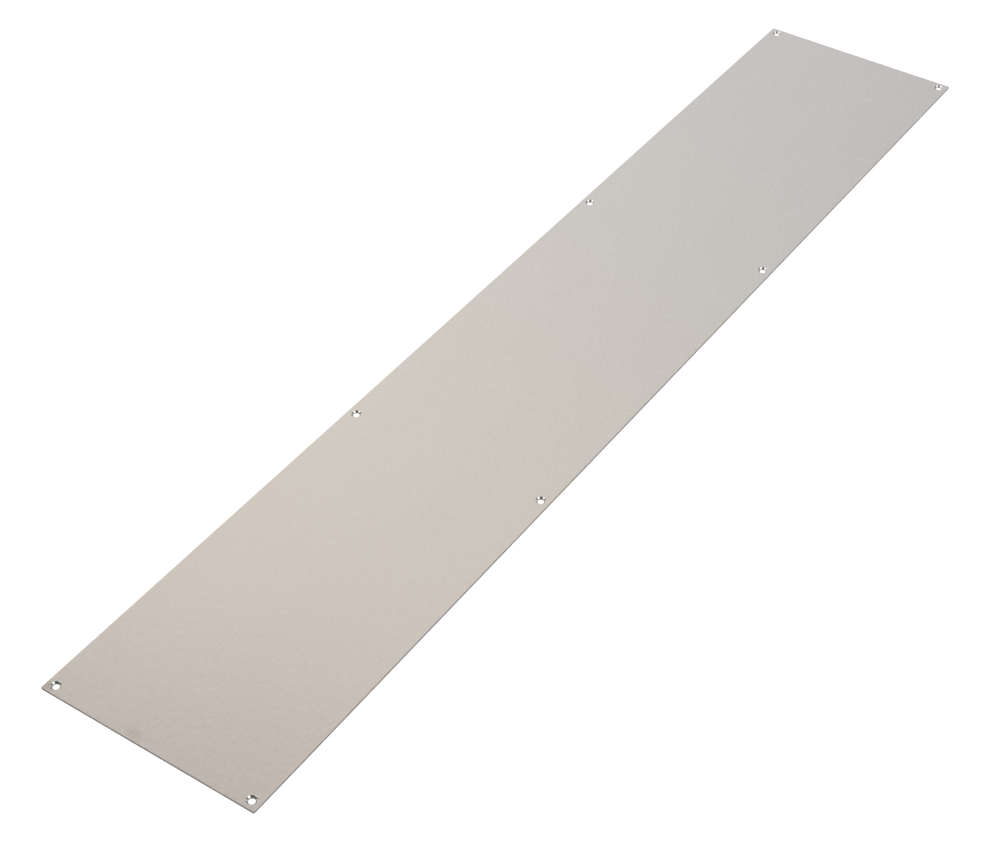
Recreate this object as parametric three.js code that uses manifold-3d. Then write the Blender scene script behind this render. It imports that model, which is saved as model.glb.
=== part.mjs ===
// A kick plate for the foot of a door: one flat rectangle of satin-brushed sheet steel
// with a row of countersunk screw holes along each long edge.
// Millimetres. The plate lies on its back: X runs along its length, Y across its width,
// and +Z points out of the brushed front. The origin is the centre of the back face.

import * as THREE from 'three';
import { mergeVertices } from 'three/addons/utils/BufferGeometryUtils.js';
import Module from 'manifold-3d';

const wasm = await Module();
wasm.setup();

// Driving dimensions
const plateLength = 815;
const plateWidth = 150;
const plateThickness = 1.5;
const cornerRadius = 0.6; // sheared corners, only just rounded by the linishing
const edgeBreak = 0.12; // burr taken off the front and back edges all round

const screwShankDiameter = 3.5; // countersunk wood screw that the holes are made for
const shankClearance = 0.6;
const countersinkRim = 6.4; // diameter where the cone meets the front face
const countersinkAngle = 90; // included angle of the screw head
const holeFromEnd = 5.5; // short edge of the plate to the nearest holes' centres
const holeFromSide = 6; // long edge of the plate to its row of holes
const holesPerSide = 4; // corner to corner, equally spaced

// Fineness of the round stretches
const holeSegments = 48;
const cornerSegments = 4;

// Worked-out sizes
const holeRadius = (screwShankDiameter + shankClearance) / 2;
const rimRadius = countersinkRim / 2;
const coneSlope = Math.tan(THREE.MathUtils.degToRad(countersinkAngle / 2));
const countersinkDepth = (rimRadius - holeRadius) / coneSlope;
const cutterOverrun = 1; // how far a hole's cutter runs past each face

function toManifold(geometry) {
  const bare = geometry.clone();
  bare.deleteAttribute('normal');
  bare.deleteAttribute('uv');
  const merged = mergeVertices(bare);
  const index = merged.index.array;
  const triangles = [];
  for (let i = 0; i < index.length; i += 3) {
    const [a, b, c] = [index[i], index[i + 1], index[i + 2]];
    if (a !== b && b !== c && c !== a) triangles.push(a, b, c);
  }
  const mesh = new wasm.Mesh({
    numProp: 3,
    vertProperties: new Float32Array(merged.attributes.position.array),
    triVerts: new Uint32Array(triangles),
  });
  return new wasm.Manifold(mesh);
}

function toGeometry(solid) {
  const mesh = solid.getMesh();
  const geometry = new THREE.BufferGeometry();
  geometry.setAttribute('position', new THREE.BufferAttribute(mesh.vertProperties, 3));
  geometry.setIndex(new THREE.BufferAttribute(mesh.triVerts, 1));
  geometry.computeVertexNormals();
  return geometry;
}

// The outline that the extrusion's bevel grows by edgeBreak to the full plate size
function plateOutline() {
  const halfX = plateLength / 2 - edgeBreak;
  const halfY = plateWidth / 2 - edgeBreak;
  const r = cornerRadius - edgeBreak;
  const outline = new THREE.Shape();
  outline.moveTo(-halfX + r, -halfY);
  outline.lineTo(halfX - r, -halfY);
  outline.absarc(halfX - r, -halfY + r, r, -Math.PI / 2, 0);
  outline.lineTo(halfX, halfY - r);
  outline.absarc(halfX - r, halfY - r, r, 0, Math.PI / 2);
  outline.lineTo(-halfX + r, halfY);
  outline.absarc(-halfX + r, halfY - r, r, Math.PI / 2, Math.PI);
  outline.lineTo(-halfX, -halfY + r);
  outline.absarc(-halfX + r, -halfY + r, r, Math.PI, 1.5 * Math.PI);
  return outline;
}

function sheetBlank() {
  const geometry = new THREE.ExtrudeGeometry(plateOutline(), {
    depth: plateThickness - 2 * edgeBreak,
    curveSegments: cornerSegments,
    bevelEnabled: true,
    bevelThickness: edgeBreak,
    bevelSize: edgeBreak,
    bevelSegments: 1,
  });
  geometry.translate(0, 0, edgeBreak);
  return geometry;
}

// A turned cutter for one hole: straight through the land, then the cone out past the front
function holeCutter() {
  const coneFoot = plateThickness - countersinkDepth;
  const profile = [
    new THREE.Vector2(0, -cutterOverrun),
    new THREE.Vector2(holeRadius, -cutterOverrun),
    new THREE.Vector2(holeRadius, coneFoot),
    new THREE.Vector2(rimRadius + cutterOverrun * coneSlope, plateThickness + cutterOverrun),
    new THREE.Vector2(0, plateThickness + cutterOverrun),
  ];
  const geometry = new THREE.LatheGeometry(profile, holeSegments);
  geometry.rotateX(Math.PI / 2);
  return geometry;
}

function holeCentres() {
  const endX = plateLength / 2 - holeFromEnd;
  const sideY = plateWidth / 2 - holeFromSide;
  const pitch = (2 * endX) / (holesPerSide - 1);
  const centres = [];
  for (const side of [-1, 1]) {
    for (let i = 0; i < holesPerSide; i += 1) {
      centres.push([-endX + i * pitch, side * sideY]);
    }
  }
  return centres;
}

function plateGeometry() {
  let solid = toManifold(sheetBlank());
  const cutter = holeCutter();
  for (const [x, y] of holeCentres()) {
    solid = solid.subtract(toManifold(cutter.clone().translate(x, y, 0)));
  }
  return toGeometry(solid);
}

const satinSteel = new THREE.MeshStandardMaterial({
  color: new THREE.Color(0xc9c3bc),
  roughness: 0.38,
  metalness: 1,
});

const plate = new THREE.Mesh(plateGeometry(), satinSteel);
plate.name = 'kick_plate';

const assembly = new THREE.Group();
assembly.add(plate);

export default assembly;
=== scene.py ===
import math

import bmesh
import bpy
from mathutils import Matrix, Vector
from mathutils.geometry import delaunay_2d_cdt


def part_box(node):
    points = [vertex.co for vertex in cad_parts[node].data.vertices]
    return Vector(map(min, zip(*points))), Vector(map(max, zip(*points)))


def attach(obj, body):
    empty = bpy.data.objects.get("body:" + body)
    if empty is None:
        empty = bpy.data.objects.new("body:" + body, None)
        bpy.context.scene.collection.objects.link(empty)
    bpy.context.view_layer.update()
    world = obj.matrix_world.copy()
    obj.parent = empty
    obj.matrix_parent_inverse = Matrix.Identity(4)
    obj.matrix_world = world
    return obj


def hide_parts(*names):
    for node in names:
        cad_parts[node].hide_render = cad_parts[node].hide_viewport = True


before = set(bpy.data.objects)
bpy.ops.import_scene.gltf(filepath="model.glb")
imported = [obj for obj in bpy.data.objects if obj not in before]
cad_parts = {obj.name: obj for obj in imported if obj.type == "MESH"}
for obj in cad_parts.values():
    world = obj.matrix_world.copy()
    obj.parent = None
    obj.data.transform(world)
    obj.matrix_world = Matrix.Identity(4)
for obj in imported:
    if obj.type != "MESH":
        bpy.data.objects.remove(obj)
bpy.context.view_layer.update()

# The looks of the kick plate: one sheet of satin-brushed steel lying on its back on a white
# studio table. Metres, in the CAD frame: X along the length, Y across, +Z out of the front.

# ---------------------------------------------------------------- sizes

MM = 0.001
MICRON = 0.001 * MM
NODE = "kick_plate"
PLATE_LOW, PLATE_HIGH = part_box(NODE)
LENGTH, WIDTH, THICKNESS = PLATE_HIGH - PLATE_LOW

CORNER_RADIUS = 0.6 * MM
EDGE_ROUND = 0.12 * MM  # radius left along the outer edges where the burr is taken off
HOLE_RADIUS = 2.05 * MM
RIM_RADIUS = 3.2 * MM
HOLE_FROM_END = 5.5 * MM
HOLE_FROM_SIDE = 6 * MM
HOLES_PER_SIDE = 4
CONE_FOOT = THICKNESS - (RIM_RADIUS - HOLE_RADIUS)  # the cone's sides lean at 45 degrees
RIM_BREAK = 0.05 * MM  # where the countersink's sharp rim is worn off
BACK_BREAK = 0.08 * MM  # where each hole's sharp edge at the back is worn off

CORNER_STEPS = 8
EDGE_STEPS = 4
HOLE_STEPS = 96
CONE_STEPS = 4
FACE_CELL = 10 * MM  # spacing of the points that keep the flat faces' triangles compact
MERGE_GAP = 0.0001 * MM  # points closer than this are one point
INSIDE_OUTLINE = 1  # the triangulation's setting that leaves out triangles beyond the outline

FRONT, SIDE, END, SINK, BACK = range(5)  # material slots of the sheet


# ---------------------------------------------------------------- mesh


def hole_centres():
    end_x = LENGTH / 2 - HOLE_FROM_END
    side_y = WIDTH / 2 - HOLE_FROM_SIDE
    pitch = 2 * end_x / (HOLES_PER_SIDE - 1)
    return [
        Vector((-end_x + i * pitch, side * side_y))
        for side in (-1, 1)
        for i in range(HOLES_PER_SIDE)
    ]


def outline(inset):
    """The plate's rounded rectangle, drawn in by inset, with even steps along its straight sides."""
    radius = CORNER_RADIUS - inset
    reach_x = LENGTH / 2 - CORNER_RADIUS
    reach_y = WIDTH / 2 - CORNER_RADIUS
    centres = [(reach_x, reach_y), (-reach_x, reach_y), (-reach_x, -reach_y), (reach_x, -reach_y)]
    points = []
    for quarter, centre in enumerate(centres):
        for step in range(CORNER_STEPS + 1):
            angle = math.pi / 2 * (quarter + step / CORNER_STEPS)
            points.append((centre[0] + radius * math.cos(angle), centre[1] + radius * math.sin(angle)))
        following = centres[(quarter + 1) % len(centres)]
        start_x, start_y = points[-1]
        cells = int(math.dist(centre, following) / FACE_CELL)
        for cell in range(1, cells):
            along = cell / cells
            points.append((
                start_x + (following[0] - centre[0]) * along,
                start_y + (following[1] - centre[1]) * along,
            ))
    return points


def circle(centre, radius):
    angles = (2 * math.pi * i / HOLE_STEPS for i in range(HOLE_STEPS))
    return [(centre.x + radius * math.cos(a), centre.y + radius * math.sin(a)) for a in angles]


def add_loop(bm, points, z):
    return [bm.verts.new((x, y, z)) for x, y in points]


def bridge(bm, loops, material):
    """Smooth walls between neighbouring loops of one length."""
    for low, high in zip(loops, loops[1:]):
        for i in range(len(low)):
            j = (i + 1) % len(low)
            face = bm.faces.new((low[i], low[j], high[j], high[i]))
            face.material_index = material
            face.smooth = True


def mark_ends(bm):
    """Gives the walls of the two short ends their own material."""
    for face in bm.faces:
        if face.material_index == SIDE and abs(face.normal.x) > abs(face.normal.y):
            face.material_index = END


def side_profile():
    """(inset, height) pairs up the plate's edge: rounded at the back, straight, rounded at the front."""
    steps = [math.pi / 2 * i / EDGE_STEPS for i in range(EDGE_STEPS + 1)]
    back = [(EDGE_ROUND * (1 - math.sin(a)), EDGE_ROUND * (1 - math.cos(a))) for a in steps]
    front = [(inset, THICKNESS - height) for inset, height in reversed(back)]
    return back + front


def hole_profile():
    """(radius, height) pairs from the back of a hole, up its bore and its cone, to its rim."""
    cone_top = THICKNESS - RIM_BREAK
    profile = [(HOLE_RADIUS + BACK_BREAK, 0), (HOLE_RADIUS, BACK_BREAK), (HOLE_RADIUS, CONE_FOOT)]
    for step in range(1, CONE_STEPS + 1):
        height = CONE_FOOT + (cone_top - CONE_FOOT) * step / CONE_STEPS
        profile.append((HOLE_RADIUS + height - CONE_FOOT, height))
    profile.append((RIM_RADIUS + RIM_BREAK / 2, THICKNESS))
    return profile


def grid_points():
    """Points spread over a flat face, clear of its outline and holes."""
    clear = [(c, RIM_RADIUS + FACE_CELL / 4) for c in hole_centres()]
    across = int(LENGTH / FACE_CELL)
    up = int(WIDTH / FACE_CELL)
    points = []
    for i in range(1, across):
        for j in range(1, up):
            p = Vector((LENGTH * (i / across - 0.5), WIDTH * (j / up - 0.5)))
            if all((p - c).length > r for c, r in clear):
                points.append(p)
    return points


def fill_flat(bm, outer, holes, material):
    """A triangulated flat face between the outer loop and the hole loops."""
    loops = [outer, *holes]
    known = [vert for loop in loops for vert in loop]
    owners = [number for number, loop in enumerate(loops) for _ in loop]
    height = known[0].co.z
    edges = []
    start = 0
    for loop in loops:
        count = len(loop)
        edges += [(start + i, start + (i + 1) % count) for i in range(count)]
        start += count
    places = [vert.co.to_2d() for vert in known] + grid_points()
    points, _, faces, origins, _, _ = delaunay_2d_cdt(places, edges, [], INSIDE_OUTLINE, MERGE_GAP)
    verts = []
    rims = []  # which loop each point is on: 0 is the outer one, or none
    for point, origin in zip(points, origins):
        old = [i for i in origin if i < len(known)]
        verts.append(known[old[0]] if old else bm.verts.new((point.x, point.y, height)))
        rims.append(owners[old[0]] if old else 0)
    for face in faces:
        around = {rims[i] for i in face}
        if len(around) == 1 and around != {0}:
            continue  # it lies inside a hole
        made = bm.faces.new([verts[i] for i in face])
        made.normal_update()
        if (made.normal.z > 0) != (material == FRONT):
            made.normal_flip()
        made.material_index = material


def unwrap(bm):
    """UVs in metres: along the brushing on the faces, round the edge, and round each countersink."""
    layer = bm.loops.layers.uv.new("grain")
    centres = hole_centres()
    for face in bm.faces:
        middle = face.calc_center_median()
        if face.material_index == SINK:
            centre = min(centres, key=lambda c: (middle.to_2d() - c).length)
            heading = (middle.to_2d() - centre).normalized()
            base = math.atan2(heading.y, heading.x)
        for loop in face.loops:
            co = loop.vert.co
            if face.material_index == SINK:
                offset = co.to_2d() - centre
                turn = heading.angle_signed(offset, 0)
                loop[layer].uv = ((base - turn) * HOLE_RADIUS, co.z)
            elif face.material_index in (SIDE, END):
                loop[layer].uv = (co.x if face.material_index == SIDE else co.y, co.z)
            else:
                loop[layer].uv = (co.x, co.y)


def build_sheet(materials):
    bm = bmesh.new()
    side = [add_loop(bm, outline(inset), height) for inset, height in side_profile()]
    bridge(bm, side, SIDE)
    bm.normal_update()
    mark_ends(bm)
    back_holes, front_holes = [], []
    for centre in hole_centres():
        loops = [add_loop(bm, circle(centre, radius), height) for radius, height in hole_profile()]
        bridge(bm, [list(reversed(loop)) for loop in loops], SINK)
        back_holes.append(loops[0])
        front_holes.append(loops[-1])
    fill_flat(bm, side[0], back_holes, BACK)
    fill_flat(bm, side[-1], front_holes, FRONT)
    bm.normal_update()
    unwrap(bm)
    mesh = bpy.data.meshes.new("kick_plate_sheet")
    bm.to_mesh(mesh)
    bm.free()
    for material in materials:
        mesh.materials.append(material)
    sheet = bpy.data.objects.new("kick_plate_sheet", mesh)
    bpy.context.scene.collection.objects.link(sheet)
    return sheet


# ---------------------------------------------------------------- nodes

# A Mix node has a set of sockets for each kind of data. These are the colour ones.
COLOR_A, COLOR_B = 6, 7
COLOR_RESULT = 2

# Values of a noise pattern: the range that holds most of it, a wider one towards its bright parts,
# and its rare peaks.
NOISE_MIDDLE = (0.3, 0.7)
NOISE_UPPER = (0.3, 0.8)
NOISE_PEAKS = (0.68, 0.76)


def add(tree, kind, inputs=(), **settings):
    """A shader node with its settings, and each named input either linked or given a value."""
    node = tree.nodes.new("ShaderNode" + kind)
    for name, value in settings.items():
        setattr(node, name, value)
    for name, value in dict(inputs).items():
        if isinstance(value, bpy.types.NodeSocket):
            tree.links.new(value, node.inputs[name])
        else:
            node.inputs[name].default_value = value
    return node


def rescale(tree, value, old, new=(0, 1), kind="LINEAR"):
    """value moved from the range old to the range new, and held inside it."""
    ranges = {"From Min": old[0], "From Max": old[1], "To Min": new[0], "To Max": new[1]}
    return add(tree, "MapRange", {"Value": value, **ranges}, interpolation_type=kind).outputs["Result"]


def mix_colors(tree, share, low, high):
    """low where share is 0, high where it is 1."""
    mix = add(tree, "Mix", {"Factor": share}, data_type="RGBA")
    for socket, color in ((COLOR_A, low), (COLOR_B, high)):
        if isinstance(color, bpy.types.NodeSocket):
            tree.links.new(color, mix.inputs[socket])
        else:
            mix.inputs[socket].default_value = (*color, 1)
    return mix.outputs[COLOR_RESULT]


# ---------------------------------------------------------------- materials

# The grain map is in metres, so every length below is a real one. Its U runs along the brushing on
# the two faces, along the plate's cut edges, and round the axis of each hole.

# Two faint marks on the front, at the end with the lower X: a smudge that handling has left, and a patch
# of painted shade at the corner on the high-Y side.
HANDLED_AT = (-LENGTH / 2 + 4.5 * MM, 10.5 * MM)
HANDLED_SIZE = (5 * MM, 10 * MM)
SHADE_PATCH_AT = (-LENGTH / 2 + 1.5 * MM, WIDTH / 2 - 2.5 * MM)
SHADE_PATCH_SIZE = (8 * MM, 8 * MM)
# Ragged pattern plus distance in radii, where a spot has faded out and where it is full.
SPOT_FADE = (1.5, 0.6)

# Heights over which a cut wall's torn metal turns into burnished, and how far at most that turn
# dips below them as it wanders.
BAND_START = (0.6 * THICKNESS, 0.8 * THICKNESS)
BAND_WANDER = 0.4 * MM
CONE_SOFTNESS = 0.05 * MM  # height over which a bore's dull metal turns into the cone's bright one


def marks(tree, length, width, detail=2.0):
    """Soft streaks, 0 to 1, of about this length along the grain map's U and this width across it."""
    grain = add(tree, "UVMap", uv_map="grain").outputs["UV"]
    scaled = add(tree, "Mapping", {"Vector": grain, "Scale": (1 / length, 1 / width, 1)})
    noise = {"Vector": scaled.outputs["Vector"], "Scale": 1, "Detail": detail, "Roughness": 0.5}
    return add(tree, "TexNoise", noise, noise_dimensions="2D").outputs["Fac"]


def layered(tree, layers):
    """The sum of patterns, each with its weight."""
    total = 0
    for pattern, weight in layers:
        total = add(tree, "Math", {0: pattern, 1: weight, 2: total}, operation="MULTIPLY_ADD").outputs[0]
    return total


def spot(tree, centre, size, ragged):
    """1 in the middle of an oval of the grain map, fading to 0 at its ragged edge.

    size is the oval's radii."""
    grain = add(tree, "UVMap", uv_map="grain").outputs["UV"]
    offset = add(tree, "VectorMath", {0: grain, 1: (*centre, 0)}, operation="SUBTRACT").outputs[0]
    scale = (1 / size[0], 1 / size[1], 0)
    oval = add(tree, "VectorMath", {0: offset, 1: scale}, operation="MULTIPLY").outputs[0]
    distance = add(tree, "VectorMath", {0: oval}, operation="LENGTH").outputs["Value"]
    pulled = add(tree, "Math", {0: ragged, 1: distance}, operation="ADD").outputs[0]
    return rescale(tree, pulled, SPOT_FADE, kind="SMOOTHSTEP")


def steel(name, build, anisotropy=0.0):
    """Bare steel. build makes its colour, roughness and height pattern (metres per unit, pattern)."""
    material = bpy.data.materials.new(name)
    material.use_nodes = True
    tree = material.node_tree
    tree.nodes.clear()
    color, roughness, (relief, height) = build(tree)
    bump = add(tree, "Bump", {"Height": height, "Distance": relief, "Strength": 1})
    tangent = add(tree, "Tangent", direction_type="UV_MAP", uv_map="grain")
    shader = add(tree, "BsdfPrincipled", {
        "Base Color": color,
        "Metallic": 1,
        "Roughness": roughness,
        "Anisotropic": anisotropy,
        "Anisotropic Rotation": 0.25,  # a quarter turn: light spreads across the tool marks
        "Tangent": tangent.outputs["Tangent"],
        "Normal": bump.outputs["Normal"],
    })
    add(tree, "OutputMaterial", {"Surface": shader.outputs["BSDF"]})
    return material


def brushed_front(tree):
    """Satin front, belt-brushed along the length: short streaks over finer hairlines."""
    broad = marks(tree, 4.5 * MM, 1.3 * MM)
    fine = marks(tree, 10 * MM, 0.3 * MM)
    hairlines = rescale(tree, marks(tree, 25 * MM, 0.1 * MM), NOISE_MIDDLE)
    streaks = layered(tree, [(broad, 0.5), (fine, 0.25), (hairlines, 0.25)])
    color = mix_colors(
        tree, rescale(tree, streaks, NOISE_MIDDLE), (0.575, 0.55, 0.535), (0.665, 0.64, 0.625)
    )
    cloud = marks(tree, 140 * MM, 60 * MM)
    color = mix_colors(tree, rescale(tree, cloud, NOISE_UPPER, (0, 0.08)), color, (0.5, 0.47, 0.44))
    handled = spot(tree, HANDLED_AT, HANDLED_SIZE, marks(tree, 3 * MM, 4 * MM))
    color = mix_colors(tree, rescale(tree, handled, (0, 1), (0, 0.3)), color, (0.4, 0.35, 0.3))
    # Painted shade: a darker patch on the front at the corner by the first hole on the high-Y side.
    painted_shade = spot(tree, SHADE_PATCH_AT, SHADE_PATCH_SIZE, marks(tree, 3 * MM, 2 * MM))
    color = mix_colors(tree, rescale(tree, painted_shade, (0, 1), (0, 0.6)), color, (0.4, 0.37, 0.35))
    roughness = rescale(tree, streaks, NOISE_MIDDLE, (0.31, 0.37))
    relief = layered(tree, [(broad, 0.9), (fine, 0.07), (hairlines, 0.03)])
    return color, roughness, (50 * MICRON, relief)


def height_up(tree):
    """Height above the back face, on the walls whose map has it for V."""
    grain = add(tree, "UVMap", uv_map="grain").outputs["UV"]
    return add(tree, "SeparateXYZ", {0: grain}).outputs["Y"]


def cut_wall(tree, torn, burnished):
    """Cut edge: a smooth burnished band under the front, torn duller metal below it."""
    tear = marks(tree, 0.25 * MM, 2 * MM)
    wander = {0: marks(tree, 9 * MM, 9 * MM), 1: BAND_WANDER, 2: height_up(tree)}
    height = add(tree, "Math", wander, operation="MULTIPLY_ADD").outputs[0]
    band = rescale(tree, height, BAND_START, kind="SMOOTHSTEP")
    metal = mix_colors(tree, band, torn, burnished)
    color = mix_colors(tree, rescale(tree, tear, NOISE_UPPER, (0, 0.3)), metal, (0.25, 0.23, 0.21))
    roughness = rescale(tree, band, (0, 1), (0.62, 0.4))
    return color, roughness, (8 * MICRON, tear)


def sheared_end(tree):
    """Short ends, as the shear left them."""
    return cut_wall(tree, (0.5, 0.46, 0.43), (0.63, 0.59, 0.56))


def lit_slit_side(tree):
    """Long sides, slit and lightly deburred: the same cut wall as the ends, with colours painted lighter
    to stand in for the light that falls on them.
    """
    return cut_wall(tree, (0.7, 0.68, 0.67), (0.84, 0.82, 0.81))


def machined_countersink(tree):
    """Freshly turned cone, bright with fine rings around the axis, over a duller punched bore."""
    rings = layered(tree, [
        (marks(tree, 5 * MM, 0.06 * MM), 0.6),
        (marks(tree, 2 * MM, 0.2 * MM), 0.4),
    ])
    turned = mix_colors(
        tree, rescale(tree, rings, NOISE_MIDDLE), (0.6, 0.585, 0.565), (0.72, 0.71, 0.69)
    )
    foot = (CONE_FOOT - CONE_SOFTNESS, CONE_FOOT)
    cone = rescale(tree, height_up(tree), foot, kind="SMOOTHSTEP")
    color = mix_colors(tree, cone, (0.42, 0.39, 0.37), turned)
    ring_roughness = rescale(tree, rings, NOISE_MIDDLE, (0.12, 0.2))
    bore_roughness = rescale(tree, cone, (0, 1), (0.35, 0))
    both = {0: bore_roughness, 1: ring_roughness}
    roughness = add(tree, "Math", both, operation="ADD").outputs[0]
    return color, roughness, (1.5 * MICRON, rings)


def rolled_back(tree):
    """Mill-finish back: smooth, with faint rolling lines, a fine haze and a few fine scuffs."""
    rolling = marks(tree, 600 * MM, 0.3 * MM)
    haze = marks(tree, 6 * MM, 5 * MM)
    lines = layered(tree, [(rolling, 0.6), (haze, 0.4)])
    color = mix_colors(
        tree, rescale(tree, lines, NOISE_MIDDLE), (0.575, 0.56, 0.55), (0.615, 0.6, 0.59)
    )
    scuffs = rescale(tree, marks(tree, 9 * MM, 0.15 * MM, 3), NOISE_PEAKS, (0, 0.25))
    color = mix_colors(tree, scuffs, color, (0.68, 0.67, 0.66))
    roughness = rescale(tree, lines, NOISE_MIDDLE, (0.33, 0.36))
    return color, roughness, (0.5 * MICRON, rolling)


# ---------------------------------------------------------------- studio

FLOOR_REACH = 20  # metres from the middle to each side

CAMERA_AZIMUTH = -54.88  # degrees: 0 looks along +Y and 90 along -X
CAMERA_ELEVATION = 41.97
CAMERA_ROLL = -0.74
CAMERA_AIM = Vector((-91.1, -10.0, 1.5)) * MM  # the point in the middle of the picture
CAMERA_DISTANCE = 1295 * MM
CAMERA_LENS = 75.42  # millimetres of focal length
CAMERA_CLIP = (0.05, 100)  # nearest and farthest distance seen, in metres


def table_paper():
    """Paper that burns out to white in the picture, and that the steel mirrors as a plain grey."""
    material = bpy.data.materials.new("table_paper")
    material.use_nodes = True
    tree = material.node_tree
    tree.nodes.clear()
    white = add(tree, "BsdfPrincipled", {
        "Base Color": (0.9, 0.9, 0.9, 1),
        "Roughness": 0.9,
        "Emission Color": (1, 1, 1, 1),
        "Emission Strength": 0.6,
    })
    grey = add(tree, "BsdfDiffuse", {"Color": (0.6, 0.58, 0.57, 1)})
    shader = add(tree, "MixShader", {
        0: add(tree, "LightPath").outputs["Is Camera Ray"],
        1: grey.outputs["BSDF"],
        2: white.outputs["BSDF"],
    })
    add(tree, "OutputMaterial", {"Surface": shader.outputs["Shader"]})
    return material


def build_floor():
    bm = bmesh.new()
    bmesh.ops.create_grid(bm, x_segments=1, y_segments=1, size=FLOOR_REACH)
    mesh = bpy.data.meshes.new("table_top")
    bm.to_mesh(mesh)
    bm.free()
    mesh.materials.append(table_paper())
    floor = bpy.data.objects.new("table_top", mesh)
    bpy.context.scene.collection.objects.link(floor)


def from_angles(azimuth, elevation):
    """A unit direction: azimuth in degrees from +X towards +Y, elevation above the table."""
    a, e = math.radians(azimuth), math.radians(elevation)
    return Vector((math.cos(a) * math.cos(e), math.sin(a) * math.cos(e), math.sin(e)))


# The studio sky is a wall of light that leans over the far end of the table, dark overhead and
# glowing below. Its colour depends on how far a direction points along the wall's axis, from -1,
# behind the camera, to 1, and each stop is a place on that scale and a colour. The light grows
# towards +Y, up to 1 + WALL_LEAN times as strong.
WALL_AXIS = Vector((1, 0, -0.8)).normalized()
WALL_LEAN = 2.0
WALL_STOPS = {
    "dark overhead": (-0.3, (0.1, 0.1, 0.1)),
    "cream glow": (-0.05, (0.7, 0.65, 0.6)),
    "soft white": (0.1, (0.6, 0.6, 0.55)),
    "cool foot": (0.4, (0.55, 0.55, 0.6)),
}

# Soft-edged round boxes and dark gaps in front of the wall, each painted over those before it:
# azimuth, elevation, radius out to which it is full and radius where it has faded, in degrees,
# and brightness.
SKY_PATCHES = {
    "foot of the far wall on the left": (58, -6, 16, 28, 0.75),
    "low dark on the left": (104, -6, 20, 34, 0.1),
    "dark beside the left box": (145, 14, 16, 26, 0.13),
    "unlit room behind the camera": (-170, 20, 42, 56, 0.13),
    "spill at the foot of the room": (180, 0, 12, 26, 0.8),
    "low light on the right": (-35, 3, 14, 24, 1.6),
    "gap beside the right box": (-41, 25, 9, 15, 0.05),
    "ceiling": (180, 84, 20, 34, 0.5),
    "right box": (-92, 44, 15, 21, 1.9),
    "left box": (127, 48, 19, 24, 1.8),
}


def sky_color(tree):
    """The colour of the studio's light by direction."""
    direction = add(tree, "TexCoord").outputs["Generated"]

    def along(axis):
        return add(tree, "VectorMath", {0: direction, 1: axis}, operation="DOT_PRODUCT").outputs["Value"]

    wall = add(tree, "ValToRGB", {"Fac": rescale(tree, along(WALL_AXIS), (-1, 1))})
    ramp = wall.color_ramp
    ramp.interpolation = "EASE"
    while len(ramp.elements) < len(WALL_STOPS):
        ramp.elements.new(0.5)  # each one's own place follows
    for element, (place, color) in zip(ramp.elements, WALL_STOPS.values()):
        element.position = (place + 1) / 2
        element.color = (*color, 1)
    lean = rescale(tree, along((0, 1, 0)), (0, 1), (1, 1 + WALL_LEAN))
    light = {0: wall.outputs["Color"], "Scale": lean}
    color = add(tree, "VectorMath", light, operation="SCALE").outputs["Vector"]
    for azimuth, elevation, inner, outer, shade in SKY_PATCHES.values():
        edges = (math.cos(math.radians(outer)), math.cos(math.radians(inner)))
        mask = rescale(tree, along(from_angles(azimuth, elevation)), edges, kind="SMOOTHSTEP")
        color = mix_colors(tree, mask, color, (shade, shade, shade))
    return color


def build_world():
    world = bpy.data.worlds.new("studio")
    bpy.context.scene.world = world
    world.use_nodes = True
    tree = world.node_tree
    tree.nodes.clear()
    sky = add(tree, "Background", {"Color": sky_color(tree)})
    white = add(tree, "Background", {"Color": (1, 1, 1, 1)})
    seen = add(tree, "MixShader", {  # straight behind the object the studio is plain white
        0: add(tree, "LightPath").outputs["Is Camera Ray"],
        1: sky.outputs["Background"],
        2: white.outputs["Background"],
    })
    add(tree, "OutputWorld", {"Surface": seen.outputs["Shader"]})


def build_camera():
    azimuth = math.radians(CAMERA_AZIMUTH)
    elevation = math.radians(CAMERA_ELEVATION)
    back = Vector((
        math.sin(azimuth) * math.cos(elevation),
        -math.cos(azimuth) * math.cos(elevation),
        math.sin(elevation),
    ))
    data = bpy.data.cameras.new("photo_view")
    data.lens = CAMERA_LENS
    data.clip_start, data.clip_end = CAMERA_CLIP
    camera = bpy.data.objects.new("photo_view", data)
    place = Matrix.Translation(CAMERA_AIM + back * CAMERA_DISTANCE)
    turn = (-back).to_track_quat("-Z", "Y").to_matrix().to_4x4()
    roll = Matrix.Rotation(math.radians(CAMERA_ROLL), 4, "Z")
    camera.matrix_world = place @ turn @ roll
    bpy.context.scene.collection.objects.link(camera)
    bpy.context.scene.camera = camera


# ---------------------------------------------------------------- build

build_camera()
build_world()
build_floor()
bpy.context.scene.view_settings.view_transform = "Standard"

sheet = build_sheet([
    steel("brushed_front", brushed_front, anisotropy=0.8),
    # Painted light: the long sides' cut wall in lighter colours than the ends.
    steel("lit_slit_side", lit_slit_side),
    steel("sheared_end", sheared_end),
    steel("machined_countersink", machined_countersink, anisotropy=0.3),
    steel("rolled_back", rolled_back, anisotropy=0.3),
])
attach(sheet, "root")
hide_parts(NODE)
